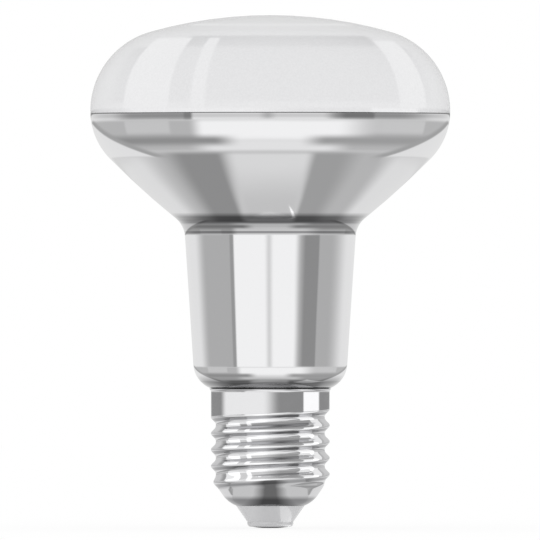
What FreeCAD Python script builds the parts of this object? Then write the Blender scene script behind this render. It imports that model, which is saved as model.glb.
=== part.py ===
import FreeCAD, Part
import math
import os

import Sketcher
from FreeCAD import Vector

doc = FreeCAD.newDocument("reflector_bulb")
os.makedirs("parts", exist_ok=True)

# Driving dimensions, in millimetres, degrees and turns of the thread

SIZES = {
    "bulb_height": 114.0,
    "bulb_diameter": 80.0,
    "dome_rise": 21.3,
    "crown_radius": 98.3,
    "shoulder_radius": 15.1,
    "cone_height": 28.3,
    "cone_curve_radius": 180.0,
    "neck_top_radius": 18.95,
    "neck_fillet": 5.8,
    "neck_low_radius": 17.1,
    "curl_radius": 6.0,
    "throat_fillet": 0.8,
    "throat_gap": 0.4,
    "throat_corner": 5.0,
    "throat_height": 20.0,
    "glass_wall": 1.0,
    "coat_thickness": 0.2,
    "mirror_drop": 0.5,
    "mirror_foot": 27.0,
    "seat_gap": 0.05,
    "crest_diameter": 26.4,
    "thread_depth": 1.1,
    "thread_pitch": 3.629,
    "crest_rounding": 0.6,
    "flank_slope": 45.0,
    "thread_datum": 19.2,
    "ridge_start_turns": -3.0,
    "ridge_fade_turns": 1.0,
    "groove_full_turns": 1.5,
    "groove_fade_turns": 0.4,
    "shell_wall": 0.35,
    "rim_height": 31.0,
    "rim_flare": 0.4,
    "flare_height": 0.7,
    "lip_radius": 7.65,
    "lip_height": 5.0,
    "lip_slope": 68.0,
    "shell_dome_radius": 6.5,
    "shell_cone_slope": 34.0,
    "insulator_top": 6.6,
    "tip_radius": 5.1,
    "tip_rounding": 0.7,
    "tip_height": 0.3,
    "tip_band_top": 1.35,
    "contact_radius": 4.1,
    "contact_flat_radius": 1.5,
    "contact_thickness": 0.45,
    "shank_radius": 1.55,
    "shank_top": 6.0,
    "shank_bore_radius": 0.5,
    "shank_bore_floor": 1.0,
    "lead_radius": 0.3,
    "side_lead_offset": 6.0,
    "side_lead_bend": 1.5,
}

sheet = doc.addObject("Spreadsheet::Sheet", "sizes")
for row, (alias, value) in enumerate(SIZES.items(), start=1):
    sheet.set(f"A{row}", alias)
    sheet.set(f"B{row}", str(value))
    sheet.setAlias(f"B{row}", alias)
doc.recompute()

# Places that several pieces share, as expressions on the sheet

WIDEST_Z = "(sizes.bulb_height - sizes.dome_rise)"
MIRROR_Z = f"({WIDEST_Z} - sizes.mirror_drop)"
CREST_R = "(sizes.crest_diameter / 2)"
ROOT_R = f"({CREST_R} - sizes.thread_depth)"
THROAT_R = f"({ROOT_R} - sizes.shell_wall - sizes.throat_gap)"
CURL_R = "(sizes.neck_low_radius - sizes.curl_radius)"
RIM_IN_R = f"({CREST_R} + sizes.rim_flare - sizes.shell_wall)"
CURL_Z = (
    "(sizes.rim_height + sizes.seat_gap + sqrt(sizes.curl_radius ^ 2"
    f" - ({RIM_IN_R} - {CURL_R}) ^ 2))"
)
THROAT_TOP_Z = (
    f"({CURL_Z} - sqrt((sizes.curl_radius + sizes.throat_fillet) ^ 2"
    f" - ({THROAT_R} + sizes.throat_fillet - {CURL_R}) ^ 2))"
)
THREAD_TOP_Z = (
    "(sizes.thread_datum + sizes.thread_pitch"
    " * (sizes.groove_full_turns + sizes.groove_fade_turns + 1 / 2))"
)
DOME_R = "(sizes.lip_radius - sizes.shell_dome_radius * cos(sizes.lip_slope))"
DOME_Z = "(sizes.lip_height + sizes.shell_dome_radius * sin(sizes.lip_slope))"
SIDE_LEAD_Z = "(sizes.thread_datum - sizes.thread_pitch * 3 / 2)"
SIDE_LEAD_END = f"({ROOT_R} - sizes.shell_wall - 2 * sizes.seat_gap)"


def number(expression):
    """The value that an expression on the sheet has now."""
    return float(sheet.evalExpression(expression))


# Sketching helpers: every sketch lies in the XZ plane, with the radius across and the height up


def plane_of(body, role):
    return next(item for item in body.Origin.OriginFeatures if item.Role == role)


def new_body(label):
    body = doc.addObject("PartDesign::Body", label)
    body.Label = label
    return body


def new_sketch(body, name, role="XZ_Plane"):
    sketch = body.newObject("Sketcher::SketchObject", name)
    sketch.AttachmentSupport = [(plane_of(body, role), "")]
    sketch.MapMode = "FlatFace"
    return sketch


def hold(sketch, name, expression, kind, *geometry):
    """Add one dimension to a sketch and tie it to the sheet."""
    index = sketch.addConstraint(Sketcher.Constraint(kind, *geometry, number(expression)))
    sketch.renameConstraint(index, name)
    sketch.setExpression(f"Constraints.{name}", expression)


def place(sketch, name, geometry, point, radius, height):
    """Tie a sketch point to its radius and height. A radius of None puts it on the axis."""
    if radius is None:
        sketch.addConstraint(Sketcher.Constraint("PointOnObject", geometry, point, -2))
    else:
        hold(sketch, f"{name}_radius", radius, "DistanceX", -1, 1, geometry, point)
    if height is None:
        sketch.addConstraint(Sketcher.Constraint("PointOnObject", geometry, point, -1))
    elif height:
        hold(sketch, f"{name}_height", height, "DistanceY", -1, 1, geometry, point)


def polygon(sketch, corners):
    """A closed outline of straight lines through named corners (name, radius, height)."""
    points = [
        Vector(number(radius) if radius else 0, number(height) if height else 0, 0)
        for _, radius, height in corners
    ]
    lines = [
        sketch.addGeometry(Part.LineSegment(start, end))
        for start, end in zip(points, points[1:] + points[:1])
    ]
    for line, following in zip(lines, lines[1:] + lines[:1]):
        sketch.addConstraint(Sketcher.Constraint("Coincident", line, 2, following, 1))
    for line, (name, radius, height) in zip(lines, corners):
        place(sketch, name, line, 1, radius, height)
    return lines


def turn(body, kind, sketch):
    """Revolve a sketch about the bulb's axis, to add (Revolution) or to cut (Groove)."""
    feature = body.newObject(f"PartDesign::{kind}", f"{sketch.Name}_turned")
    feature.Profile = sketch
    feature.ReferenceAxis = (sketch, ["V_Axis"])
    feature.Angle = 360
    sketch.Visibility = False
    doc.recompute()
    return feature


# The blown outline of the glass, which the coats inside it follow at an inset


def towards(start, end, distance):
    return start + (end - start).normalize() * distance


def arc(centre, start, end):
    """The arc that runs anticlockwise about a centre from start to end."""
    circle = Part.Circle(centre, Vector(0, 0, 1), (start - centre).Length)
    first = math.atan2(start.y - centre.y, start.x - centre.x)
    last = math.atan2(end.y - centre.y, end.x - centre.x)
    if last < first:
        last += 2 * math.pi
    return Part.ArcOfCircle(circle, first, last)


def blown_outline(body, name, inset):
    """The bulb's half section, moved inwards by an inset: crown, shoulders, cone, neck and throat."""
    sketch = new_sketch(body, name)
    step = number(inset)
    widest = number("sizes.bulb_diameter / 2")
    rise = number("sizes.dome_rise")
    crown = number("sizes.crown_radius")
    dome_edge = (2 * crown * rise - rise ** 2 - widest ** 2) / (2 * (crown - widest))
    shoulder = number("sizes.shoulder_radius")
    cone_curve = number("sizes.cone_curve_radius")
    fillet = number("sizes.neck_fillet")
    curl = number("sizes.curl_radius")
    throat = number(THROAT_R)
    throat_fillet = number("sizes.throat_fillet")
    corner = number("sizes.throat_corner")
    floor = number("sizes.throat_height")
    widest_z = number(WIDEST_Z)

    crown_centre = Vector(0, number("sizes.bulb_height") - crown, 0)
    edge_centre = Vector(widest - dome_edge, widest_z, 0)
    shoulder_centre = Vector(widest - shoulder, widest_z, 0)
    fillet_centre = Vector(
        number("sizes.neck_top_radius") + fillet, widest_z - number("sizes.cone_height"), 0
    )
    curl_centre = Vector(number(CURL_R), number(CURL_Z), 0)
    throat_centre = Vector(throat + throat_fillet, number(THROAT_TOP_Z), 0)
    corner_centre = Vector(throat - corner, floor + corner, 0)

    # The cone's gentle arc touches the shoulder from outside it and the neck fillet from inside
    span = fillet_centre - shoulder_centre
    near = cone_curve - shoulder
    far = cone_curve + fillet
    along = (span.Length ** 2 + near ** 2 - far ** 2) / (2 * span.Length)
    aside = math.sqrt(near ** 2 - along ** 2)
    unit = Vector(span).normalize()
    cone_centre = shoulder_centre + unit * along + Vector(unit.y, -unit.x, 0) * aside

    # The neck's straight side touches the fillet on one side and the curl on the other
    lean = fillet_centre - curl_centre
    tilt = math.atan2(lean.y, lean.x) - math.acos((fillet + curl) / lean.Length)
    outwards = Vector(math.cos(tilt), math.sin(tilt), 0)

    top = Vector(0, number("sizes.bulb_height") - step, 0)
    crown_end = towards(crown_centre, edge_centre, crown - step)
    side = Vector(widest - step, widest_z, 0)
    cone_start = towards(cone_centre, shoulder_centre, cone_curve - step)
    cone_end = towards(cone_centre, fillet_centre, cone_curve - step)
    neck_start = fillet_centre - outwards * (fillet + step)
    neck_end = curl_centre + outwards * (curl - step)
    curl_end = towards(curl_centre, throat_centre, curl - step)
    throat_start = Vector(throat - step, throat_centre.y, 0)
    throat_end = Vector(throat - step, corner_centre.y, 0)
    floor_edge = Vector(corner_centre.x, floor + step, 0)
    floor_centre = Vector(0, floor + step, 0)

    (crown_arc, edge_arc, shoulder_arc, cone_arc, fillet_arc, neck, curl_arc, throat_arc,
     throat_side, corner_arc, base, axis) = sketch.addGeometry([
        arc(crown_centre, crown_end, top),
        arc(edge_centre, side, crown_end),
        arc(shoulder_centre, cone_start, side),
        arc(cone_centre, cone_end, cone_start),
        arc(fillet_centre, cone_end, neck_start),
        Part.LineSegment(neck_start, neck_end),
        arc(curl_centre, curl_end, neck_end),
        arc(throat_centre, curl_end, throat_start),
        Part.LineSegment(throat_start, throat_end),
        arc(corner_centre, floor_edge, throat_end),
        Part.LineSegment(floor_edge, floor_centre),
        Part.LineSegment(floor_centre, top),
    ])
    for joint in (
        (crown_arc, 1, edge_arc, 2),
        (edge_arc, 1, shoulder_arc, 2),
        (shoulder_arc, 1, cone_arc, 2),
        (cone_arc, 1, fillet_arc, 1),
        (fillet_arc, 2, neck, 1),
        (neck, 2, curl_arc, 2),
        (curl_arc, 1, throat_arc, 1),
        (throat_arc, 2, throat_side, 1),
        (throat_side, 2, corner_arc, 2),
        (corner_arc, 1, base, 1),
    ):
        sketch.addConstraint(Sketcher.Constraint("Tangent", *joint))
    sketch.addConstraint([
        Sketcher.Constraint("Coincident", base, 2, axis, 1),
        Sketcher.Constraint("Coincident", axis, 2, crown_arc, 2),
        Sketcher.Constraint("PointOnObject", axis, 1, -2),
        Sketcher.Constraint("PointOnObject", axis, 2, -2),
        Sketcher.Constraint("PointOnObject", crown_arc, 3, -2),
        Sketcher.Constraint("Horizontal", edge_arc, 3, edge_arc, 1),
        Sketcher.Constraint("Vertical", throat_side),
        Sketcher.Constraint("Horizontal", base),
    ])
    for label, geometry, radius in (
        ("crown", crown_arc, f"sizes.crown_radius - ({inset})"),
        ("shoulder", shoulder_arc, f"sizes.shoulder_radius - ({inset})"),
        ("cone", cone_arc, f"sizes.cone_curve_radius - ({inset})"),
        ("fillet", fillet_arc, f"sizes.neck_fillet + ({inset})"),
        ("curl", curl_arc, f"sizes.curl_radius - ({inset})"),
        ("throat", throat_arc, f"sizes.throat_fillet + ({inset})"),
        ("corner", corner_arc, f"sizes.throat_corner - ({inset})"),
    ):
        hold(sketch, label, radius, "Radius", geometry)
    hold(sketch, "crown_centre", "sizes.bulb_height - sizes.crown_radius",
         "DistanceY", -1, 1, crown_arc, 3)
    hold(sketch, "widest_height", WIDEST_Z, "DistanceY", -1, 1, edge_arc, 3)
    hold(sketch, "widest_radius", f"sizes.bulb_diameter / 2 - ({inset})",
         "DistanceX", -1, 1, edge_arc, 1)
    place(sketch, "fillet_centre", fillet_arc, 3,
          "sizes.neck_top_radius + sizes.neck_fillet", f"{WIDEST_Z} - sizes.cone_height")
    place(sketch, "curl_centre", curl_arc, 3, CURL_R, CURL_Z)
    hold(sketch, "throat_centre", f"{THROAT_R} + sizes.throat_fillet",
         "DistanceX", -1, 1, throat_arc, 3)
    hold(sketch, "corner_centre", "sizes.throat_height + sizes.throat_corner",
         "DistanceY", -1, 1, corner_arc, 3)
    return sketch


def band_sketch(body, name, low, high):
    """A rectangle from the axis past the bulb's side, between two heights."""
    sketch = new_sketch(body, name)
    reach = "sizes.bulb_diameter"
    polygon(sketch, [
        ("low_axis", None, low),
        ("low_edge", reach, low),
        ("high_edge", reach, high),
        ("high_axis", None, high),
    ])
    return sketch


def inner_layer(label, near, far, cuts):
    """A layer that follows the glass between two insets, cut off between pairs of heights."""
    body = new_body(label)
    turn(body, "Revolution", blown_outline(body, f"{label}_outside", near))
    turn(body, "Groove", blown_outline(body, f"{label}_inside", far))
    for count, (low, high) in enumerate(cuts, start=1):
        turn(body, "Groove", band_sketch(body, f"{label}_end_{count}", low, high))
    return body


# Coats on the inside of the glass: a mirror up to the mirror line, a frost on the dome above it

ABOVE = "sizes.bulb_height"
BELOW = "sizes.throat_height"
COAT_NEAR = "sizes.glass_wall + sizes.seat_gap"
COAT_FAR = f"{COAT_NEAR} + sizes.coat_thickness"
mirror = inner_layer("mirror_coating", COAT_NEAR, COAT_FAR,
                     [(BELOW, "sizes.mirror_foot"), (MIRROR_Z, ABOVE)])
frost = inner_layer("frost_coating", COAT_NEAR, COAT_FAR,
                    [(BELOW, f"{MIRROR_Z} + sizes.seat_gap")])


# Blown glass bulb, sealed at the throat inside the cap. Nothing inside it can be seen, so it is
# one filled solid, but for the thin pocket one wall deep that holds the coats

pocket = inner_layer("coat_pocket", "sizes.glass_wall", f"{COAT_FAR} + sizes.seat_gap",
                     [(BELOW, "sizes.mirror_foot - sizes.seat_gap")])
glass = new_body("glass_bulb")
turn(glass, "Revolution", blown_outline(glass, "glass_outside", "0"))
hollow = glass.newObject("PartDesign::Boolean", "pocket_cut")
hollow.Type = "Cut"
hollow.setObjects([pocket])
doc.recompute()


# Basing cement: the ring that holds the glass throat in the cap's plain band

cement = new_body("basing_cement")
cement_sketch = new_sketch(cement, "cement_section")
CEMENT_IN = f"{THROAT_R} + sizes.seat_gap"
CEMENT_OUT = f"{CREST_R} - sizes.shell_wall - 2 * sizes.seat_gap"
CEMENT_LOW = f"{THREAD_TOP_Z} + sizes.seat_gap"
CEMENT_HIGH = f"{THROAT_TOP_Z} - sizes.seat_gap"
polygon(cement_sketch, [
    ("low_in", CEMENT_IN, CEMENT_LOW),
    ("low_out", CEMENT_OUT, CEMENT_LOW),
    ("high_out", CEMENT_OUT, CEMENT_HIGH),
    ("high_in", CEMENT_IN, CEMENT_HIGH),
])
turn(cement, "Revolution", cement_sketch)


# Screw shell: one drawn sheet with a flared rim, a plain band, a rolled right-hand thread that
# runs out at both ends, and a domed foot whose lip grips the insulator

COLUMNS = 40
ROWS_PER_PITCH = 9
MID_GROOVE = 0.5
DOME_STEPS = 5


def ease(share):
    """A smooth step from 0 to 1."""
    share = min(max(share, 0.0), 1.0)
    return share * share * (3 - 2 * share)


def rolled_form(size):
    """The height of the rolled thread over its root, at a distance along the axis from a crest."""
    half = size["thread_pitch"] / 2
    flank = math.radians(size["flank_slope"])
    rounding = size["crest_rounding"]
    depth = size["thread_depth"]
    root_rounding = (half * math.tan(flank) - depth) / (1 / math.cos(flank) - 1) - rounding
    crest_end = rounding * math.sin(flank)
    root_start = half - root_rounding * math.sin(flank)

    def form(distance):
        distance = abs(distance)
        if distance <= crest_end:
            return depth - rounding + math.sqrt(rounding ** 2 - distance ** 2)
        if distance >= root_start:
            rest = half - distance
            return root_rounding - math.sqrt(root_rounding ** 2 - rest ** 2)
        return (depth - rounding * (1 - math.cos(flank))
                - (distance - crest_end) * math.tan(flank))

    return form


def shell_rows(size):
    """Rows of the sheet from the lip to the thread's top: each gives, at an angle, both skins."""
    wall = size["shell_wall"]
    pitch = size["thread_pitch"]
    depth = size["thread_depth"]
    datum = size["thread_datum"]
    crest = size["crest_diameter"] / 2
    root = crest - depth
    dome = size["shell_dome_radius"]
    cone_slope = math.radians(size["shell_cone_slope"])
    lip_slope = math.radians(size["lip_slope"])
    dome_r = size["lip_radius"] - dome * math.cos(lip_slope)
    dome_z = size["lip_height"] + dome * math.sin(lip_slope)
    cone_low_z = dome_z - dome * math.sin(cone_slope)
    cone_low_r = dome_r + dome * math.cos(cone_slope)
    cone_high_z = cone_low_z + (root - cone_low_r) / math.tan(cone_slope)
    thread_top = datum + pitch * (size["groove_full_turns"] + size["groove_fade_turns"] + MID_GROOVE)
    form = rolled_form(size)

    def root_radius(height):
        return root - max(cone_high_z - height, 0) * math.tan(cone_slope)

    def thread_radius(height, turned):
        crests = (height - datum) / pitch - turned
        nearest = round(crests)
        ridge = ease((nearest + turned - size["ridge_start_turns"]) / size["ridge_fade_turns"])
        groove_at = round(crests - MID_GROOVE) + MID_GROOVE + turned
        groove = 1 - ease((groove_at - size["groove_full_turns"]) / size["groove_fade_turns"])
        share = form((crests - nearest) * pitch) / depth
        return root_radius(height) + depth * (1 - (1 - share * ridge) * groove)

    rows = []
    for step in range(DOME_STEPS):
        slope = lip_slope + (cone_slope - lip_slope) * step / DOME_STEPS
        outer = (dome_r + dome * math.cos(slope), dome_z - dome * math.sin(slope))
        inner = (
            dome_r + (dome - wall) * math.cos(slope),
            dome_z - (dome - wall) * math.sin(slope),
        )
        rows.append(lambda turned, outer=outer, inner=inner: (outer, inner))
    steps = round((thread_top - cone_low_z) / pitch * ROWS_PER_PITCH)
    for step in range(steps + 1):
        height = cone_low_z + (thread_top - cone_low_z) * step / steps

        def threaded(turned, height=height):
            radius = thread_radius(height, turned)
            return (radius, height), (radius - wall, height)

        rows.append(threaded)
    return rows


def threaded_shape(size):
    """The threaded sheet as a solid of small flat faces, whose diagonals follow the thread."""
    rows = shell_rows(size)
    loop = len(rows) * 2
    points = []
    for column in range(COLUMNS):
        turned = column / COLUMNS
        across = Vector(math.cos(2 * math.pi * turned), math.sin(2 * math.pi * turned), 0)
        pairs = [row(turned) for row in rows]
        section = [outer for outer, _ in pairs] + [inner for _, inner in reversed(pairs)]
        points += [across * radius + Vector(0, 0, height) for radius, height in section]
    faces = []
    for column in range(COLUMNS):
        here = column * loop
        beyond = (column + 1) % COLUMNS * loop
        for row in range(loop):
            above = (row + 1) % loop
            if row < len(rows):
                faces.append((here + row, beyond + row, beyond + above))
                faces.append((here + row, beyond + above, here + above))
            else:
                faces.append((here + row, beyond + row, here + above))
                faces.append((beyond + row, beyond + above, here + above))
    skin = Part.Shape()
    skin.makeShapeFromMesh((points, faces), 1e-6)
    return Part.Solid(skin.Shells[0] if skin.Shells else Part.Shell(skin.Faces))


def collar_shape(size):
    """The plain band over the thread and its flared rim, turned as one ring."""
    foot = number(THREAD_TOP_Z)
    rim = size["rim_height"]
    out = size["rim_flare"]
    rise = size["flare_height"]
    bend = (rise ** 2 + out ** 2) / (2 * out)
    half = math.asin(rise / bend) / 2
    skins = []
    for radius in (size["crest_diameter"] / 2, size["crest_diameter"] / 2 - size["shell_wall"]):
        low = Vector(radius, 0, foot)
        flare_foot = Vector(radius, 0, rim - rise)
        middle = flare_foot + Vector(bend * (1 - math.cos(half)), 0, bend * math.sin(half))
        high = Vector(radius + out, 0, rim)
        skins.append((low, high, [
            Part.LineSegment(low, flare_foot).toShape(),
            Part.Arc(flare_foot, middle, high).toShape(),
        ]))
    (low_out, high_out, outer), (low_in, high_in, inner) = skins
    ends = [
        Part.LineSegment(high_out, high_in).toShape(),
        Part.LineSegment(low_in, low_out).toShape(),
    ]
    section = Part.Face(Part.Wire(Part.__sortEdges__(outer + inner + ends)))
    return section.revolve(Vector(), Vector(0, 0, 1), 360)


shell_sizes = {alias: float(sheet.get(alias)) for alias in SIZES}
shell = doc.addObject("Part::Feature", "screw_shell")
shell.Label = "screw_shell"
joined = threaded_shape(shell_sizes).fuse(collar_shape(shell_sizes))
if len(joined.Solids) != 1:
    raise RuntimeError("the shell's band and thread don't meet")
shell.Shape = joined.Solids[0]
shell.Placement = FreeCAD.Placement()


# Insulator: a turned cone with a recess for the contact plate and a collar inside the shell's foot

insulator = new_body("cap_insulator")
insulator_sketch = new_sketch(insulator, "insulator_section")
HOLE_R = "sizes.shank_radius + sizes.seat_gap"
RECESS_R = "sizes.contact_radius + sizes.seat_gap"
RECESS_Z = "sizes.contact_thickness + sizes.seat_gap"
GROOVE_R = "sizes.lip_radius - sizes.shell_wall * cos(sizes.lip_slope) - sizes.seat_gap"
COLLAR_ARC = "sizes.shell_dome_radius - sizes.shell_wall - sizes.seat_gap"
COLLAR_LOW = f"{DOME_Z} - sqrt(({COLLAR_ARC}) ^ 2 - ({GROOVE_R} - {DOME_R}) ^ 2)"
COLLAR_R = f"{DOME_R} + sqrt(({COLLAR_ARC}) ^ 2 - ({DOME_Z} - sizes.insulator_top) ^ 2)"
LIP_SEAT_Z = "sizes.lip_height - sizes.seat_gap"
corners = [
    ("recess_in", HOLE_R, RECESS_Z),
    ("recess_out", RECESS_R, RECESS_Z),
    ("recess_foot", RECESS_R, "sizes.tip_height"),
    ("tip_foot", "sizes.tip_radius - sizes.tip_rounding", "sizes.tip_height"),
    ("tip_side", "sizes.tip_radius", "sizes.tip_height + sizes.tip_rounding"),
    ("tip_top", "sizes.tip_radius", "sizes.tip_band_top"),
    ("cone_top", "sizes.lip_radius - sizes.seat_gap", LIP_SEAT_Z),
    ("groove_low", GROOVE_R, LIP_SEAT_Z),
    ("groove_high", GROOVE_R, COLLAR_LOW),
    ("collar_edge", COLLAR_R, "sizes.insulator_top"),
    ("hole_top", HOLE_R, "sizes.insulator_top"),
]
spots = {name: Vector(number(radius), number(height), 0) for name, radius, height in corners}
rounded = {
    "tip_foot": Vector(number("sizes.tip_radius - sizes.tip_rounding"),
                       number("sizes.tip_height + sizes.tip_rounding"), 0),
    "groove_high": Vector(number(DOME_R), number(DOME_Z), 0),
}
arc_sizes = {"tip_foot": "sizes.tip_rounding", "groove_high": COLLAR_ARC}
names = [name for name, _, _ in corners]
edges = []
for name, following in zip(names, names[1:] + names[:1]):
    if name in rounded:
        curve = arc(rounded[name], spots[name], spots[following])
    else:
        curve = Part.LineSegment(spots[name], spots[following])
    edges.append(insulator_sketch.addGeometry(curve))
for edge, following in zip(edges, edges[1:] + edges[:1]):
    insulator_sketch.addConstraint(Sketcher.Constraint("Coincident", edge, 2, following, 1))
for edge, (name, radius, height) in zip(edges, corners):
    place(insulator_sketch, name, edge, 1, radius, height)
    if name in rounded:
        hold(insulator_sketch, f"{name}_arc", arc_sizes[name], "Radius", edge)
turn(insulator, "Revolution", insulator_sketch)


# Centre contact: a shallow domed plate and its tubular shank, one turned piece

contact = new_body("centre_contact")
contact_sketch = new_sketch(contact, "contact_section")
polygon(contact_sketch, [
    ("flat_centre", None, None),
    ("flat_edge", "sizes.contact_flat_radius", None),
    ("rim_low", "sizes.contact_radius", "sizes.tip_height"),
    ("rim_high", "sizes.contact_radius", "sizes.contact_thickness"),
    ("shank_foot", "sizes.shank_radius", "sizes.contact_thickness"),
    ("shank_top_out", "sizes.shank_radius", "sizes.shank_top"),
    ("shank_top_in", "sizes.shank_bore_radius", "sizes.shank_top"),
    ("bore_floor_edge", "sizes.shank_bore_radius", "sizes.shank_bore_floor"),
    ("bore_floor_centre", None, "sizes.shank_bore_floor"),
])
turn(contact, "Revolution", contact_sketch)


# Leads: a straight wire into the contact's shank, and a bent one to the shell's inner wall

centre_lead = doc.addObject("Part::Cylinder", "centre_lead")
centre_lead.Label = "centre_lead"
centre_lead.setExpression("Radius", "sizes.lead_radius")
centre_lead.setExpression(
    "Height", "sizes.throat_height - sizes.shank_bore_floor - 2 * sizes.seat_gap"
)
centre_lead.setExpression("Placement.Base.z", "sizes.shank_bore_floor + sizes.seat_gap")

side_lead = new_body("side_lead")
path = new_sketch(side_lead, "side_lead_path")
LEAD_TOP = "sizes.throat_height - sizes.seat_gap"
LEAD_X = "sizes.side_lead_offset"
bend = number("sizes.side_lead_bend")
lead_start = Vector(number(LEAD_X), number(LEAD_TOP), 0)
bend_centre = Vector(number(LEAD_X) + bend, number(SIDE_LEAD_Z) + bend, 0)
bend_start = bend_centre - Vector(bend, 0, 0)
bend_end = bend_centre - Vector(0, bend, 0)
lead_end = Vector(number(SIDE_LEAD_END), number(SIDE_LEAD_Z), 0)
drop, elbow, run = path.addGeometry([
    Part.LineSegment(lead_start, bend_start),
    arc(bend_centre, bend_start, bend_end),
    Part.LineSegment(bend_end, lead_end),
])
path.addConstraint([
    Sketcher.Constraint("Tangent", drop, 2, elbow, 1),
    Sketcher.Constraint("Tangent", elbow, 2, run, 1),
    Sketcher.Constraint("Vertical", drop),
    Sketcher.Constraint("Horizontal", run),
])
place(path, "start", drop, 1, LEAD_X, LEAD_TOP)
place(path, "end", run, 2, SIDE_LEAD_END, SIDE_LEAD_Z)
hold(path, "bend", "sizes.side_lead_bend", "Radius", elbow)
section = new_sketch(side_lead, "side_lead_section", "XY_Plane")
section.setExpression("AttachmentOffset.Base.z", LEAD_TOP)
ring = section.addGeometry(
    Part.Circle(Vector(number(LEAD_X), 0, 0), Vector(0, 0, 1), number("sizes.lead_radius"))
)
section.addConstraint(Sketcher.Constraint("PointOnObject", ring, 3, -1))
hold(section, "offset", LEAD_X, "DistanceX", -1, 1, ring, 3)
hold(section, "wire", "sizes.lead_radius", "Radius", ring)
doc.recompute()
pipe = side_lead.newObject("PartDesign::AdditivePipe", "side_lead_wire")
pipe.Profile = section
pipe.Spine = path
doc.recompute()


# Check every object, then write each piece

PIECES = [glass, mirror, frost, cement, shell, insulator, contact, centre_lead, side_lead]
for item in doc.Objects:
    bad = {"Invalid", "Error"}.intersection(item.State)
    if bad:
        raise RuntimeError(f"{item.Name} is {', '.join(item.State)}")
for piece in PIECES:
    if piece.Shape.isNull() or not piece.Shape.isValid():
        raise RuntimeError(f"{piece.Label} has no valid shape")
    if len(piece.Shape.Solids) != 1:
        raise RuntimeError(f"{piece.Label} is not one solid")
for piece in PIECES:
    piece.Shape.exportStep(f"parts/{piece.Label}.step")
    print(f"{piece.Label}: {piece.Shape.Volume:.1f} mm3, {len(piece.Shape.Faces)} faces")
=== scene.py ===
import math

import bpy
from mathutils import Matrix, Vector


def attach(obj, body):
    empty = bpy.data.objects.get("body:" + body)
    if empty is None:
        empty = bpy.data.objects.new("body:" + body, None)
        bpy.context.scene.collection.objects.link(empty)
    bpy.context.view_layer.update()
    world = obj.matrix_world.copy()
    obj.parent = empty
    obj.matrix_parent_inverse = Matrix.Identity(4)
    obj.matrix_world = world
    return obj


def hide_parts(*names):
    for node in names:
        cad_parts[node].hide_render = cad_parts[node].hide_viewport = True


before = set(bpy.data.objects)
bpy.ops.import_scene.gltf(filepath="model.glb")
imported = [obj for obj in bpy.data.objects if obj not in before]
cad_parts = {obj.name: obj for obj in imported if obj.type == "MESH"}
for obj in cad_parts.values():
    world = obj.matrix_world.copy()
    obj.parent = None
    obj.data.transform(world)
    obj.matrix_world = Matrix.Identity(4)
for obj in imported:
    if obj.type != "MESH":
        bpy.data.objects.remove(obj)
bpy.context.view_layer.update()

# Sizes of the glass and cap, in millimetres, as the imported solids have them

MM = 0.001
BULB_HEIGHT = 114.0
BULB_RADIUS = 40.0
DOME_RISE = 21.3
CROWN_RADIUS = 98.3
SHOULDER_RADIUS = 15.1
CONE_HEIGHT = 28.3
CONE_CURVE_RADIUS = 180.0
NECK_TOP_RADIUS = 18.95
NECK_FILLET = 5.8
NECK_LOW_RADIUS = 17.1
CURL_RADIUS = 6.0
THROAT_FILLET = 0.8
THROAT_GAP = 0.4
THROAT_CORNER = 5.0
THROAT_HEIGHT = 20.0
GLASS_WALL = 1.0
SEAT_GAP = 0.05
MIRROR_LINE = 92.2
CREST_RADIUS = 13.2
THREAD_DEPTH = 1.1
THREAD_PITCH = 3.629
CREST_ROUNDING = 0.6
FLANK_SLOPE = math.radians(45)
THREAD_DATUM = 19.2
RIDGE_START = -3.0
RIDGE_FADE = 1.0
GROOVE_FULL = 1.5
GROOVE_FADE = 0.4
SHELL_WALL = 0.35
RIM_HEIGHT = 31.0
RIM_FLARE = 0.4
FLARE_HEIGHT = 0.7
LIP_RADIUS = 7.65
LIP_HEIGHT = 5.0
LIP_SLOPE = math.radians(68)
SHELL_DOME_RADIUS = 6.5
SHELL_CONE_SLOPE = math.radians(34)
CONE_BLEND = 0.8
INSULATOR_TOP = 6.6
TIP_RADIUS = 5.1
TIP_ROUNDING = 0.7
TIP_HEIGHT = 0.3
TIP_BAND_TOP = 1.35
CONTACT_RADIUS = 4.1
CONTACT_FLAT_RADIUS = 1.5
CONTACT_THICKNESS = 0.45
CONTACT_CURVE = 1.6
SHANK_RADIUS = 1.55
SHANK_TOP = 6.0
SHANK_BORE_RADIUS = 0.5
SHANK_BORE_FLOOR = 1.0

ROOT_RADIUS = CREST_RADIUS - THREAD_DEPTH
THROAT_RADIUS = ROOT_RADIUS - SHELL_WALL - THROAT_GAP
WIDEST_HEIGHT = BULB_HEIGHT - DOME_RISE

# How finely the pieces are made, and which of their edges stay sharp

GLASS_COLUMNS = 256
SHELL_COLUMNS = 180
SHELL_ROWS_PER_PITCH = 30
RIM_STEPS = 8
CAP_COLUMNS = 128
CONTACT_STEPS = 8
STAGE_COLUMNS = 96
ARC_STEP = math.radians(3)
SHARP_EDGE = math.radians(30)
SHELL_SHARP_EDGE = math.radians(40)
SAME_POINT = 1e-3


# Meshes


def piece_from(name, points, faces, sharp_angle=None):
    mesh = bpy.data.meshes.new(name)
    mesh.from_pydata([tuple(c * MM for c in p) for p in points], [], faces)
    mesh.validate()
    mesh.update()
    piece = bpy.data.objects.new(name, mesh)
    bpy.context.scene.collection.objects.link(piece)
    for polygon in mesh.polygons:
        polygon.use_smooth = True
    if sharp_angle is not None:
        mesh.set_sharp_from_angle(angle=sharp_angle)
    return piece


def on_circle(radius, height, column, columns):
    angle = 2 * math.pi * column / columns
    return radius * math.cos(angle), radius * math.sin(angle), height


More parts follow.
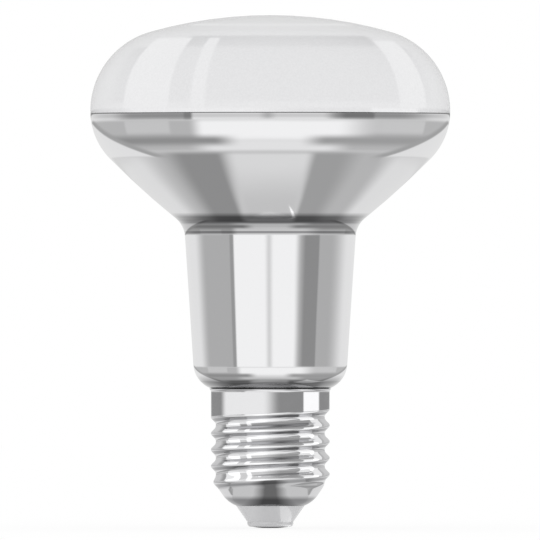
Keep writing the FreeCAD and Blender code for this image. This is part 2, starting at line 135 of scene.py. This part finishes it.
def lathe(name, section, columns):
    """A closed section of (radius, height) points turned about Z.

    A radius of 0 becomes one point.
    """
    points = []
    rings = []
    for radius, height in section:
        if radius == 0:
            rings.append([len(points)] * columns)
            points.append((0, 0, height))
            continue
        rings.append(list(range(len(points), len(points) + columns)))
        points += [on_circle(radius, height, column, columns) for column in range(columns)]
    faces = []
    for ring, following in zip(rings, rings[1:] + rings[:1]):
        for column in range(columns):
            beyond = (column + 1) % columns
            corners = [ring[column], ring[beyond], following[beyond], following[column]]
            corners = list(dict.fromkeys(corners))
            if len(corners) > 2:
                faces.append(corners)
    return piece_from(name, points, faces, SHARP_EDGE)


def arc_points(centre, radius, start, end):
    """Points on an arc from one angle to another, both ends included."""
    steps = max(2, math.ceil(abs(end - start) / ARC_STEP))
    return [
        (centre[0] + radius * math.cos(start + (end - start) * k / steps),
         centre[1] + radius * math.sin(start + (end - start) * k / steps))
        for k in range(steps + 1)
    ]


# Glass outline: crown, shoulders, cone, neck, curl and throat, at an inset from the outside


def blown_outline(inset):
    """(radius, height) points from the dome's top down to the floor of the throat."""
    rise = DOME_RISE
    edge = ((2 * CROWN_RADIUS * rise - rise ** 2 - BULB_RADIUS ** 2)
            / (2 * (CROWN_RADIUS - BULB_RADIUS)))
    curl_r = NECK_LOW_RADIUS - CURL_RADIUS
    rim_in = CREST_RADIUS + RIM_FLARE - SHELL_WALL
    curl_z = RIM_HEIGHT + SEAT_GAP + math.sqrt(CURL_RADIUS ** 2 - (rim_in - curl_r) ** 2)
    throat_r = THROAT_RADIUS + THROAT_FILLET
    throat_z = curl_z - math.sqrt((CURL_RADIUS + THROAT_FILLET) ** 2 - (throat_r - curl_r) ** 2)
    crown_c = Vector((0, BULB_HEIGHT - CROWN_RADIUS))
    edge_c = Vector((BULB_RADIUS - edge, WIDEST_HEIGHT))
    shoulder_c = Vector((BULB_RADIUS - SHOULDER_RADIUS, WIDEST_HEIGHT))
    fillet_c = Vector((NECK_TOP_RADIUS + NECK_FILLET, WIDEST_HEIGHT - CONE_HEIGHT))
    curl_c = Vector((curl_r, curl_z))
    throat_c = Vector((throat_r, throat_z))

    span = fillet_c - shoulder_c
    near = CONE_CURVE_RADIUS - SHOULDER_RADIUS
    far = CONE_CURVE_RADIUS + NECK_FILLET
    along = (span.length ** 2 + near ** 2 - far ** 2) / (2 * span.length)
    unit = span.normalized()
    aside = math.sqrt(near ** 2 - along ** 2)
    cone_c = shoulder_c + unit * along + Vector((unit.y, -unit.x)) * aside
    lean = fillet_c - curl_c
    tilt = math.atan2(lean.y, lean.x) - math.acos((NECK_FILLET + CURL_RADIUS) / lean.length)

    def angle(start, end):
        return math.atan2(end.y - start.y, end.x - start.x)

    crown_end = angle(crown_c, edge_c)
    cone_start = angle(cone_c, shoulder_c)
    cone_end = angle(cone_c, fillet_c)
    curl_end = angle(curl_c, throat_c)
    outline = []
    for centre, radius, start, end in (
        (crown_c, CROWN_RADIUS - inset, math.pi / 2, crown_end),
        (edge_c, edge - inset, crown_end, 0),
        (shoulder_c, SHOULDER_RADIUS - inset, 0, cone_start),
        (cone_c, CONE_CURVE_RADIUS - inset, cone_start, cone_end),
        (fillet_c, NECK_FILLET + inset, cone_end + math.pi, tilt + math.pi),
        (curl_c, CURL_RADIUS - inset, tilt, curl_end),
        (throat_c, THROAT_FILLET + inset, curl_end + math.pi, math.pi),
        ((THROAT_RADIUS - THROAT_CORNER, THROAT_HEIGHT + THROAT_CORNER),
         THROAT_CORNER - inset, 0, -math.pi / 2),
    ):
        outline += arc_points(centre, radius, start, end)
    outline[0] = (0, outline[0][1])
    outline.append((0, THROAT_HEIGHT + inset))
    thinned = outline[:1]
    for point in outline[1:]:
        if math.dist(point, thinned[-1]) > SAME_POINT:
            thinned.append(point)
    return thinned


def cut_outline(outline, low, high):
    """The stretch of an outline between two heights, with exact ends."""
    kept = []
    for (r0, z0), (r1, z1) in zip(outline, outline[1:]):
        for limit in (high, low):
            if (z0 - limit) * (z1 - limit) < 0:
                share = (limit - z0) / (z1 - z0)
                kept.append((r0 + (r1 - r0) * share, limit))
        if low <= z1 <= high:
            kept.append((r1, z1))
    if low <= outline[0][1] <= high:
        kept.insert(0, outline[0])
    return kept


def glass_ring(name, low, high):
    """The glass wall between two heights, as a closed shell."""
    outside = cut_outline(blown_outline(0), low, high)
    inside = cut_outline(blown_outline(GLASS_WALL), low, high)
    return lathe(name, outside + inside[::-1], GLASS_COLUMNS)


# Materials

# The sockets of a Mix node that are for colours
MIX_FIRST, MIX_SECOND, MIX_RESULT = 6, 7, 2


def feed(links, socket, value):
    """Sets a number on a socket, or links another node's output to it."""
    if isinstance(value, (int, float)):
        socket.default_value = value
    else:
        links.new(value, socket)


def math_node(nodes, links, operation, *values):
    node = nodes.new("ShaderNodeMath")
    node.operation = operation
    for socket, value in zip(node.inputs, values):
        feed(links, socket, value)
    return node.outputs[0]


def ramp(nodes, links, source, low, high, start=0.3, end=0.7, interpolation="LINEAR"):
    """A change from low to high while the source goes from start to end."""
    node = nodes.new("ShaderNodeMapRange")
    node.interpolation_type = interpolation
    node.inputs["From Min"].default_value = start
    node.inputs["From Max"].default_value = end
    node.inputs["To Min"].default_value = low
    node.inputs["To Max"].default_value = high
    links.new(source, node.inputs["Value"])
    return node.outputs["Result"]


def mix_colours(nodes, links, share, first, second):
    mix = nodes.new("ShaderNodeMix")
    mix.data_type = "RGBA"
    mix.inputs[MIX_FIRST].default_value = first
    mix.inputs[MIX_SECOND].default_value = second
    links.new(share, mix.inputs[0])
    return mix.outputs[MIX_RESULT]


def mix_shaders(nodes, links, share, first, second):
    mix = nodes.new("ShaderNodeMixShader")
    feed(links, mix.inputs[0], share)
    links.new(first.outputs[0], mix.inputs[1])
    links.new(second.outputs[0], mix.inputs[2])
    return mix


def axes(nodes, links, vector):
    """The X, Y and Z of a vector."""
    split = nodes.new("ShaderNodeSeparateXYZ")
    links.new(vector, split.inputs[0])
    return split.outputs


def own_axes(nodes, links):
    """The X, Y and Z of the piece's own coordinates, in metres."""
    coords = nodes.new("ShaderNodeTexCoord")
    return axes(nodes, links, coords.outputs["Object"])


def noise(nodes, links, scale, detail, stretch=None):
    coords = nodes.new("ShaderNodeTexCoord")
    place = coords.outputs["Object"]
    if stretch:
        mapping = nodes.new("ShaderNodeMapping")
        mapping.inputs["Scale"].default_value = stretch
        links.new(place, mapping.inputs["Vector"])
        place = mapping.outputs[0]
    texture = nodes.new("ShaderNodeTexNoise")
    texture.inputs["Scale"].default_value = scale
    texture.inputs["Detail"].default_value = detail
    links.new(place, texture.inputs["Vector"])
    return texture.outputs[0]


def add_roughness(nodes, links, shader, scale, detail, low, high):
    """A fine change of roughness. Gives back the grain behind it."""
    grain = noise(nodes, links, scale, detail)
    links.new(ramp(nodes, links, grain, low, high), shader.inputs["Roughness"])
    return grain


def add_bump(nodes, links, shader, source, strength, distance):
    bump = nodes.new("ShaderNodeBump")
    bump.inputs["Strength"].default_value = strength
    bump.inputs["Distance"].default_value = distance
    links.new(source, bump.inputs["Height"])
    links.new(bump.outputs[0], shader.inputs["Normal"])


def blank_material(name):
    made = bpy.data.materials.new(name)
    made.use_nodes = True
    made.node_tree.nodes.clear()
    return made, made.node_tree.nodes, made.node_tree.links


def show(nodes, links, shader, output="ShaderNodeOutputMaterial"):
    links.new(shader.outputs[0], nodes.new(output).inputs[0])


def material(name, values):
    """A material with these values on its shader's sockets."""
    made, nodes, links = blank_material(name)
    shader = nodes.new("ShaderNodeBsdfPrincipled")
    for socket, value in values.items():
        shader.inputs[socket].default_value = value
    show(nodes, links, shader)
    return made, nodes, links, shader


def plain_material(name, values, scale, detail, low, high, bump=None):
    """One colour, with a fine change of roughness and a bump of the same grain where given."""
    made, nodes, links, shader = material(name, values)
    grain = add_roughness(nodes, links, shader, scale, detail, low, high)
    if bump:
        add_bump(nodes, links, shader, grain, *bump)
    return made


# Dark rings painted into the mirror's colour, along its edge and as painted shade where the glass
# bends into the neck: lower and upper height in millimetres, softness and depth
PAINTED_MIRROR_RINGS = (
    (91.95, 93.0, 0.05, 0.80),
    (90.9, 92.0, 0.35, 0.38),
    (67.4, 69.6, 0.50, 0.92),
    (65.4, 66.1, 0.25, 0.80),
    (66.0, 67.8, 0.30, 0.45),
    (30.0, 33.2, 0.80, 0.85),
)


def mirrored_glass_material():
    """Bright aluminium seen through clear glass, faintly rippled as blown glass is."""
    made, nodes, links, shader = material("mirrored_glass", {
        "Metallic": 1.0, "Coat Weight": 1.0, "Coat Roughness": 0.02, "Coat IOR": 1.5,
    })
    add_roughness(nodes, links, shader, 60.0, 2.0, 0.03, 0.07)
    waves = noise(nodes, links, 50.0, 1.0, (1.0, 1.0, 0.6))
    add_bump(nodes, links, shader, waves, 1.0, 0.00012)

    # Dark rings painted into the colour along the mirror's edge, and painted shade in place of
    # dark reflections where the glass bends into the neck
    height = own_axes(nodes, links)[2]
    painted_shade = 0.0
    for low, high, soft, depth in PAINTED_MIRROR_RINGS:
        rise = ramp(nodes, links, height, 0, depth, (low - soft) * MM, (low + soft) * MM)
        fall = ramp(nodes, links, height, 1, 0, (high - soft) * MM, (high + soft) * MM)
        ring = math_node(nodes, links, "MULTIPLY", rise, fall)
        painted_shade = math_node(nodes, links, "MAXIMUM", painted_shade, ring)
    tint = mix_colours(nodes, links, painted_shade, (0.93, 0.93, 0.94, 1), (0.06, 0.06, 0.065, 1))
    links.new(tint, shader.inputs["Base Color"])
    return made


def frosted_dome_material():
    """Satin white frost under clear glass."""
    made, nodes, links, shader = material("frosted_dome", {
        "IOR": 1.3, "Coat Weight": 1.0, "Coat Roughness": 0.03, "Coat IOR": 1.9,
    })
    grain = add_roughness(nodes, links, shader, 2200.0, 2.0, 0.45, 0.62)
    share = ramp(nodes, links, grain, 0, 1)
    tint = mix_colours(nodes, links, share, (0.81, 0.81, 0.82, 1), (0.85, 0.85, 0.86, 1))
    links.new(tint, shader.inputs["Base Color"])
    return made


def nickel_material():
    """Bright nickel plate, with painted shade on the undersides of the thread: faces that look
    downward get a darker colour.
    """
    made, nodes, links, shader = material("bright_nickel", {"Metallic": 1.0})
    add_roughness(nodes, links, shader, 400.0, 3.0, 0.05, 0.09)
    surface = nodes.new("ShaderNodeNewGeometry")
    upward = axes(nodes, links, surface.outputs["Normal"])[2]
    # Painted shade: the colour darkens where the surface faces downward
    painted_underside_shade = ramp(nodes, links, upward, 1, 0, -0.72, -0.58)
    tint = mix_colours(nodes, links, painted_underside_shade, (0.84, 0.84, 0.85, 1), (0.34, 0.34, 0.35, 1))
    links.new(tint, shader.inputs["Base Color"])
    return made


def coat(piece, look):
    piece.data.materials.clear()
    piece.data.materials.append(look)


def finish_piece(piece, look, slot, *nodes):
    coat(piece, look)
    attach(piece, "root")
    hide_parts(*nodes)


# Glass: the mirrored cone and neck up to the mirror line, and the frosted dome above it

PAST_END = 1.0
mirror_look = mirrored_glass_material()
lower_glass = glass_ring("mirrored_glass", THROAT_HEIGHT - PAST_END, MIRROR_LINE)
finish_piece(lower_glass, mirror_look, "clear_glass", "glass_bulb")
dome = glass_ring("frosted_dome", MIRROR_LINE, BULB_HEIGHT + PAST_END)
finish_piece(dome, frosted_dome_material(), "frost_coat", "frost_coating")
coat(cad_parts["mirror_coating"], mirror_look)


# Screw shell: the drawn sheet at full smoothness, with the same rolled thread and run-outs


def ease(share):
    """0 to 1 with a soft start and a soft end."""
    share = min(max(share, 0.0), 1.0)
    return share * share * (3 - 2 * share)


def thread_form(distance):
    """Height of the thread over its root, at a distance along the axis from a crest."""
    half = THREAD_PITCH / 2
    root_rounding = ((half * math.tan(FLANK_SLOPE) - THREAD_DEPTH)
                     / (1 / math.cos(FLANK_SLOPE) - 1) - CREST_ROUNDING)
    crest_end = CREST_ROUNDING * math.sin(FLANK_SLOPE)
    root_start = half - root_rounding * math.sin(FLANK_SLOPE)
    distance = abs(distance)
    if distance <= crest_end:
        return THREAD_DEPTH - CREST_ROUNDING + math.sqrt(CREST_ROUNDING ** 2 - distance ** 2)
    if distance >= root_start:
        return root_rounding - math.sqrt(root_rounding ** 2 - (half - distance) ** 2)
    return (THREAD_DEPTH - CREST_ROUNDING * (1 - math.cos(FLANK_SLOPE))
            - (distance - crest_end) * math.tan(FLANK_SLOPE))


DOME_R = LIP_RADIUS - SHELL_DOME_RADIUS * math.cos(LIP_SLOPE)
DOME_Z = LIP_HEIGHT + SHELL_DOME_RADIUS * math.sin(LIP_SLOPE)
CONE_LOW_Z = DOME_Z - SHELL_DOME_RADIUS * math.sin(SHELL_CONE_SLOPE)
CONE_LOW_R = DOME_R + SHELL_DOME_RADIUS * math.cos(SHELL_CONE_SLOPE)
CONE_HIGH_Z = CONE_LOW_Z + (ROOT_RADIUS - CONE_LOW_R) / math.tan(SHELL_CONE_SLOPE)
CREST_TO_GROOVE = 0.5
THREAD_TOP = THREAD_DATUM + THREAD_PITCH * (GROOVE_FULL + GROOVE_FADE + CREST_TO_GROOVE)
# A row of faces this close to each end of the plain band keeps its shading level
BAND_INSET = 0.1


def root_radius(height):
    """The thread's root: a cylinder that blends into the foot's cone."""
    below = CONE_HIGH_Z - height
    if below <= -CONE_BLEND:
        return ROOT_RADIUS
    eased = below if below >= CONE_BLEND else (below + CONE_BLEND) ** 2 / (4 * CONE_BLEND)
    return ROOT_RADIUS - eased * math.tan(SHELL_CONE_SLOPE)


def thread_radius(height, turned):
    """The shell's outer radius on the thread, at an angle given as a share of a turn."""
    crests = (height - THREAD_DATUM) / THREAD_PITCH - turned
    nearest = round(crests)
    ridge = ease((nearest + turned - RIDGE_START) / RIDGE_FADE)
    groove_at = round(crests - CREST_TO_GROOVE) + CREST_TO_GROOVE + turned
    groove = 1 - ease((groove_at - GROOVE_FULL) / GROOVE_FADE)
    share = thread_form((crests - nearest) * THREAD_PITCH) / THREAD_DEPTH
    return root_radius(height) + THREAD_DEPTH * (1 - (1 - share * ridge) * groove)


def shell_section(turned):
    """The sheet's outer and inner skins at one angle, from the lip to the rim."""
    outer = []
    inner = []

    def add(radius, height):
        outer.append((radius, height))
        inner.append((radius - SHELL_WALL, height))

    for radius, height in arc_points((DOME_R, DOME_Z), SHELL_DOME_RADIUS,
                                     -LIP_SLOPE, -SHELL_CONE_SLOPE)[:-1]:
        outer.append((radius, height))
        towards = Vector((DOME_R - radius, DOME_Z - height)).normalized() * SHELL_WALL
        inner.append((radius + towards.x, height + towards.y))
    rows = round((THREAD_TOP - CONE_LOW_Z) / THREAD_PITCH * SHELL_ROWS_PER_PITCH)
    for row in range(rows + 1):
        height = CONE_LOW_Z + (THREAD_TOP - CONE_LOW_Z) * row / rows
        add(thread_radius(height, turned), height)
    flare_foot = RIM_HEIGHT - FLARE_HEIGHT
    add(CREST_RADIUS, THREAD_TOP + BAND_INSET)
    add(CREST_RADIUS, flare_foot - BAND_INSET)
    for step in range(RIM_STEPS + 1):
        share = step / RIM_STEPS
        add(CREST_RADIUS + RIM_FLARE * share ** 2, flare_foot + FLARE_HEIGHT * share)
    return outer + inner[::-1]


def screw_shell():
    points = []
    for column in range(SHELL_COLUMNS):
        section = shell_section(column / SHELL_COLUMNS)
        points += [on_circle(r, z, column, SHELL_COLUMNS) for r, z in section]
    loop = len(points) // SHELL_COLUMNS
    faces = []
    for column in range(SHELL_COLUMNS):
        here = column * loop
        beyond = (column + 1) % SHELL_COLUMNS * loop
        for row in range(loop):
            above = (row + 1) % loop
            faces.append((here + row, beyond + row, beyond + above, here + above))
    return piece_from("threaded_shell", points, faces, SHELL_SHARP_EDGE)


finish_piece(screw_shell(), nickel_material(), "cap_metal", "screw_shell")


# Insulator and contact

GROOVE_R = LIP_RADIUS - SHELL_WALL * math.cos(LIP_SLOPE) - SEAT_GAP
COLLAR_ARC = SHELL_DOME_RADIUS - SHELL_WALL - SEAT_GAP
RECESS_Z = CONTACT_THICKNESS + SEAT_GAP
HOLE_R = SHANK_RADIUS + SEAT_GAP
collar_low = -math.acos((GROOVE_R - DOME_R) / COLLAR_ARC)
collar_high = -math.asin((DOME_Z - INSULATOR_TOP) / COLLAR_ARC)
insulator_section = [
    (HOLE_R, RECESS_Z),
    (CONTACT_RADIUS + SEAT_GAP, RECESS_Z),
    (CONTACT_RADIUS + SEAT_GAP, TIP_HEIGHT),
    *arc_points((TIP_RADIUS - TIP_ROUNDING, TIP_HEIGHT + TIP_ROUNDING), TIP_ROUNDING,
                -math.pi / 2, 0),
    (TIP_RADIUS, TIP_BAND_TOP),
    (LIP_RADIUS - SEAT_GAP, LIP_HEIGHT - SEAT_GAP),
    (GROOVE_R, LIP_HEIGHT - SEAT_GAP),
    *arc_points((DOME_R, DOME_Z), COLLAR_ARC, collar_low, collar_high),
    (HOLE_R, INSULATOR_TOP),
]
insulator_look = plain_material("pale_insulator", {
    "Base Color": (0.58, 0.58, 0.59, 1),
    "Coat Weight": 1.0, "Coat Roughness": 0.08, "Coat IOR": 1.7,
}, 900.0, 2.0, 0.3, 0.4)
insulator = lathe("insulator_cone", insulator_section, CAP_COLUMNS)
finish_piece(insulator, insulator_look, "insulator", "cap_insulator")

chord = CONTACT_RADIUS - CONTACT_FLAT_RADIUS
contact_section = [
    (0, 0),
    (CONTACT_FLAT_RADIUS, 0),
    *[(CONTACT_FLAT_RADIUS + chord * k / CONTACT_STEPS,
       TIP_HEIGHT * (k / CONTACT_STEPS) ** CONTACT_CURVE) for k in range(1, CONTACT_STEPS + 1)],
    (CONTACT_RADIUS, CONTACT_THICKNESS),
    (SHANK_RADIUS, CONTACT_THICKNESS),
    (SHANK_RADIUS, SHANK_TOP),
    (SHANK_BORE_RADIUS, SHANK_TOP),
    (SHANK_BORE_RADIUS, SHANK_BORE_FLOOR),
    (0, SHANK_BORE_FLOOR),
]
contact_look = plain_material("tinned_contact", {
    "Base Color": (0.42, 0.42, 0.43, 1), "Metallic": 1.0,
}, 1500.0, 4.0, 0.28, 0.5, (0.2, 0.0001))
contact = lathe("contact_plate", contact_section, CAP_COLUMNS)
finish_piece(contact, contact_look, "contact_metal", "centre_contact")

cement_look = plain_material("basing_cement", {
    "Base Color": (0.62, 0.58, 0.50, 1),
}, 1200.0, 5.0, 0.8, 0.95, (0.4, 0.0002))
coat(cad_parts["basing_cement"], cement_look)

wire_look = plain_material("lead_wire", {
    "Base Color": (0.55, 0.50, 0.46, 1), "Metallic": 1.0,
}, 2000.0, 2.0, 0.3, 0.45)
for lead in ("centre_lead", "side_lead"):
    coat(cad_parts[lead], wire_look)


# Floor: pale and plain, with a faint shadow, and seen through from below

FLOOR_RADII = (2000.0, 0.001)
FLOOR_HEIGHT = -0.05
FLOOR_SHADE = 0.18


def stage_ring(name, radii, height):
    """A flat ring between two radii. It faces up where the larger one comes first."""
    points = [on_circle(radius, height, column, STAGE_COLUMNS)
              for radius in radii for column in range(STAGE_COLUMNS)]
    faces = []
    for column in range(STAGE_COLUMNS):
        beyond = (column + 1) % STAGE_COLUMNS
        faces.append((column, beyond, STAGE_COLUMNS + beyond, STAGE_COLUMNS + column))
    return piece_from(name, points, faces)


def floor_material():
    made, nodes, links = blank_material("floor")
    glow = nodes.new("ShaderNodeEmission")
    matt = nodes.new("ShaderNodeBsdfDiffuse")
    matt.inputs["Color"].default_value = (1, 1, 1, 1)
    clear = nodes.new("ShaderNodeBsdfTransparent")
    side = nodes.new("ShaderNodeNewGeometry")
    top = mix_shaders(nodes, links, FLOOR_SHADE, glow, matt)
    show(nodes, links, mix_shaders(nodes, links, side.outputs["Backfacing"], top, clear))
    return made


floor = stage_ring("floor", FLOOR_RADII, FLOOR_HEIGHT)
coat(floor, floor_material())
floor.visible_glossy = False


# Cards under the bulb, mirrored by the cap's foot and by the insulator alone

# Below this depth a ray has met one mirror at most
FIRST_MIRROR = 1.5
# The foot's card is dark in its middle and brightens over this stretch to either side
FOOT_CARD_STRETCH = (3.0, 9.5)
FOOT_CARD_LEVELS = (0.16, 0.64)
FOOT_CARD_RADII = (4.0, 40.0)
FOOT_CARD_HEIGHT = -3.0
FOOT_CARD_REACH = 18.0
INSULATOR_CARD_HEIGHT = -2.9
INSULATOR_CARD_X = (5.2, 20.0)
INSULATOR_CARD_Y = (-20.0, 8.0)
INSULATOR_CARD_REACH = 9.5
INSULATOR_CARD_LEVEL = 1.6


def card_material(name, reach):
    """A glow that shows only in the first mirror, and from no further off than its reach."""
    made, nodes, links = blank_material(name)
    glow = nodes.new("ShaderNodeEmission")
    clear = nodes.new("ShaderNodeBsdfTransparent")
    path = nodes.new("ShaderNodeLightPath")
    first = math_node(nodes, links, "LESS_THAN", path.outputs["Ray Depth"], FIRST_MIRROR)
    near = math_node(nodes, links, "LESS_THAN", path.outputs["Ray Length"], reach * MM)
    shown = math_node(nodes, links, "MULTIPLY", first, near)
    show(nodes, links, mix_shaders(nodes, links, shown, clear, glow))
    return made, nodes, links, glow.inputs["Strength"]


def hang_card(card, look):
    coat(card, look)
    card.visible_camera = False
    card.visible_diffuse = False
    card.visible_transmission = False
    card.visible_shadow = False


def hang_foot_card():
    look, nodes, links, strength = card_material("foot_card", FOOT_CARD_REACH)
    sideways = math_node(nodes, links, "ABSOLUTE", own_axes(nodes, links)[0])
    start, end = FOOT_CARD_STRETCH
    glow = ramp(nodes, links, sideways, *FOOT_CARD_LEVELS, start * MM, end * MM)
    links.new(glow, strength)
    hang_card(stage_ring("foot_card", FOOT_CARD_RADII, FOOT_CARD_HEIGHT), look)


def hang_insulator_card():
    look, _, _, strength = card_material("insulator_card", INSULATOR_CARD_REACH)
    strength.default_value = INSULATOR_CARD_LEVEL
    (left, right), (front, back) = INSULATOR_CARD_X, INSULATOR_CARD_Y
    corners = [(x, y, INSULATOR_CARD_HEIGHT)
               for x, y in ((left, front), (right, front), (right, back), (left, back))]
    hang_card(piece_from("insulator_card", corners, [(0, 1, 2, 3)]), look)


hang_foot_card()
hang_insulator_card()


# Soft lights beside the thread: a broad one on the left, whose right edge fades in steps, and a
# narrow brighter one on the right. Bearings are in degrees from the front, positive to the right

CAP_LIGHT_RADIUS = 19.0
CAP_LIGHT_SPAN = (7.0, 24.8)
FADE_START = -11.0
FADE_STEP = 3.5
FADE_LIGHTS = 8
# Left edge, right edge and brightness of each
CAP_LIGHTS = (
    *[(-72.0, FADE_START + FADE_STEP * number, 0.045) for number in range(FADE_LIGHTS)],
    (46.0, 76.0, 0.55),
)


def cap_light(name, start, end, level):
    """A light on a circle round the cap, facing it, between two bearings."""
    middle = math.radians((start + end) / 2)
    half = math.radians((end - start) / 2)
    low, high = CAP_LIGHT_SPAN
    lamp = bpy.data.lights.new(name, "AREA")
    lamp.shape = "RECTANGLE"
    lamp.size = 2 * CAP_LIGHT_RADIUS * math.sin(half) * MM
    lamp.size_y = (high - low) * MM
    lamp.energy = level * math.pi * lamp.size * lamp.size_y
    holder = bpy.data.objects.new(lamp.name, lamp)
    bpy.context.scene.collection.objects.link(holder)
    out = CAP_LIGHT_RADIUS * math.cos(half) * MM
    holder.location = (out * math.sin(middle), -out * math.cos(middle), (low + high) / 2 * MM)
    holder.rotation_euler = (math.pi / 2, 0, middle)
    holder.visible_camera = False
    holder.visible_diffuse = False
    holder.visible_transmission = False


for number, (start, end, level) in enumerate(CAP_LIGHTS):
    cap_light("cap_light_%d" % number, start, end, level)


# Studio: a white surround. What the bright surfaces mirror is laid out for a front view: each card
# is placed by the lie of the surface that mirrors it to the front, as degrees round from the front
# (positive to the right) and degrees of upward tilt

scene = bpy.context.scene
scene.view_settings.view_transform = "Standard"
scene.view_settings.look = "None"
world = bpy.data.worlds.new("studio")
scene.world = world
world.use_nodes = True
wn = world.node_tree.nodes
wl = world.node_tree.links
wn.clear()
sky = wn.new("ShaderNodeTexCoord")
sky_x, sky_y, sky_z = axes(wn, wl, sky.outputs["Generated"])


def calc(operation, *values):
    return math_node(wn, wl, operation, *values)


forward = calc("SUBTRACT", 1.0, sky_y)
level_length = calc("SQRT", calc("ADD", calc("POWER", sky_x, 2.0), calc("POWER", forward, 2.0)))
turned = calc("MULTIPLY", calc("ARCTAN2", sky_x, forward), math.degrees(1))
tilted = calc("MULTIPLY", calc("ARCTAN2", sky_z, level_length), math.degrees(1))


def rise_at(value, limit, soft):
    return ramp(wn, wl, value, 0, 1, limit - soft, limit + soft, "SMOOTHSTEP")


def fall_at(value, limit, soft):
    return ramp(wn, wl, value, 1, 0, limit - soft, limit + soft, "SMOOTHSTEP")


def card_span(value, low, low_soft, high, high_soft):
    """1 between two limits, with a soft edge of its own at each."""
    return calc("MULTIPLY", rise_at(value, low, low_soft), fall_at(value, high, high_soft))


# Each card: left edge and its softness, right edge and its softness, lower edge, upper edge and
# their softness, brightness. A card lies over those before it
BACKDROP = 0.98
WIDE = 200
CARDS = [
    # Overhead: the ceiling with its dim middle and dark gap, and three soft boxes over the dome
    (-WIDE, 1, WIDE, 1, -1.9, 200, 0.8, 0.80),
    (-62.0, 5.0, 62.0, 5.0, 6, 50, 2.0, 0.45),
    (-36.0, 3.0, 46.0, 3.0, 50, 64, 2.5, 0.0),
    (-60.0, 9.0, 60.0, 9.0, 77.2, 78.4, 0.5, 1.0),
    (-54.5, 0.5, -34.5, 0.5, -2, 61, 1.0, 1.20),
    (-26.3, 0.5, -21.3, 0.5, -2, 61, 1.0, 1.10),
    (46.0, 0.6, 60.0, 0.6, -2, 57, 1.0, 1.20),
    # Straight ahead: what the cap's plain band mirrors
    (-WIDE, 1, WIDE, 1, -1.9, 1.6, 0.8, 0.36),
    (-52.0, 5.0, 1.0, 9.0, -1.9, 1.6, 0.8, 1.20),
    (34.0, 0.8, 55.0, 1.5, -1.9, 1.6, 0.8, 1.45),
    # A little lower: what the neck mirrors
    (-WIDE, 1, WIDE, 1, -8.0, -1.9, 0.8, 0.98),
    (-56.5, 7.0, 56.0, 11.0, -8.0, -1.9, 0.8, 0.54),
    (-28.6, 0.6, -25.8, 0.6, -8.0, -1.9, 0.8, 0.40),
    (-25.6, 0.8, 19.2, 2.8, -8.0, -1.9, 0.8, 1.17),
    (-2.4, 2.0, 0.8, 2.0, -8.0, -1.9, 0.8, 0.82),
    (23.0, 2.2, 35.3, 0.8, -8.0, -1.9, 0.8, 0.34),
    # Below: the table, from the front edge down to underneath
    (-WIDE, 1, WIDE, 1, -42, -8.0, 2.0, 0.60),
    (-54.5, 0.8, -34.5, 0.8, -20, -8.0, 3.0, 0.72),
    (32, 9, 60.0, 0.8, -20, -8.0, 3.0, 0.74),
    (-24.5, 3.0, 30.0, 9.0, -27, -8.0, 3.0, 1.17),
    (-24.0, 6.0, 24.0, 6.0, -42, -25, 4.0, 1.00),
    (-80.0, 6.0, -14.0, 5.0, -30.5, -22.5, 3.5, 0.36),
    (14.0, 5.0, 80.0, 6.0, -30.5, -22.5, 3.5, 0.44),
    # Underneath: what the cone mirrors
    (-WIDE, 1, WIDE, 1, -200, -37.0, 3.0, 0.93),
    (-50.0, 9.0, 49.0, 6.0, -200, -37.0, 3.0, 0.60),
    (-38.0, 6.0, -15.5, 4.0, -200, -39.0, 3.0, 0.35),
    (14.5, 2.5, 31.0, 6.0, -200, -39.0, 3.0, 0.44),
    (-15.5, 4.0, 14.5, 2.5, -200, -39.0, 3.0, 0.90),
    (-15.5, 4.0, 14.5, 2.5, -200, -47.0, 2.5, 0.70),
    (-45.0, 9.0, 45.0, 9.0, -200, -56.0, 3.0, 0.22),
]


def lay_over(under, mask, level):
    """One level over another, as far as the mask shows it."""
    return calc("ADD", under, calc("MULTIPLY", calc("SUBTRACT", level, under), mask))


brightness = BACKDROP
for left, left_soft, right, right_soft, low, high, soft, level in CARDS:
    mask = calc("MULTIPLY", card_span(turned, left, left_soft, right, right_soft),
                card_span(tilted, low, soft, high, soft))
    brightness = lay_over(brightness, mask, level)

# The bright surround past the table, whose edge comes further forward the lower it is mirrored,
# with a dark line along it: where each starts, its softness and its brightness
EDGE_LEAN = 1.13
EDGE_SPAN = (-43, 2, -7, 2)
EDGE_STEPS = ((88, 3, 0.46), (94, 1.5, 0.97))
edge = calc("SUBTRACT", calc("ABSOLUTE", turned), calc("MULTIPLY", tilted, EDGE_LEAN))
around = card_span(tilted, *EDGE_SPAN)
for start, soft, level in EDGE_STEPS:
    mask = calc("MULTIPLY", around, rise_at(edge, start, soft))
    brightness = lay_over(brightness, mask, level)

path = wn.new("ShaderNodeLightPath")
surround = wn.new("ShaderNodeBackground")
surround.inputs["Color"].default_value = (1, 1, 1, 1)
# The cards keep this node's own light grey, which their levels are set for
mirrored = wn.new("ShaderNodeBackground")
wl.new(brightness, mirrored.inputs["Strength"])
blend = mix_shaders(wn, wl, path.outputs["Is Glossy Ray"], surround, mirrored)
show(wn, wl, blend, "ShaderNodeOutputWorld")


# Camera: level and some way off, with the bulb as large as in the photograph. The distance and the
# clip are in metres

PIXEL = 0.2223 * MM
FRAME_PIXELS = 540
VIEW_HEIGHT = 57.35 * MM
AXIS_PIXEL = 270.3
CAMERA_DISTANCE = 4.5
CLIP_END = 50.0
SENSOR = 36.0
camera_data = bpy.data.cameras.new("camera")
camera_data.sensor_width = SENSOR
camera_data.lens = SENSOR * CAMERA_DISTANCE / (FRAME_PIXELS * PIXEL)
camera_data.clip_end = CLIP_END
camera = bpy.data.objects.new("camera", camera_data)
scene.collection.objects.link(camera)
camera.location = ((FRAME_PIXELS / 2 - AXIS_PIXEL) * PIXEL, -CAMERA_DISTANCE, VIEW_HEIGHT)
camera.rotation_euler = (math.pi / 2, 0, 0)
scene.camera = camera
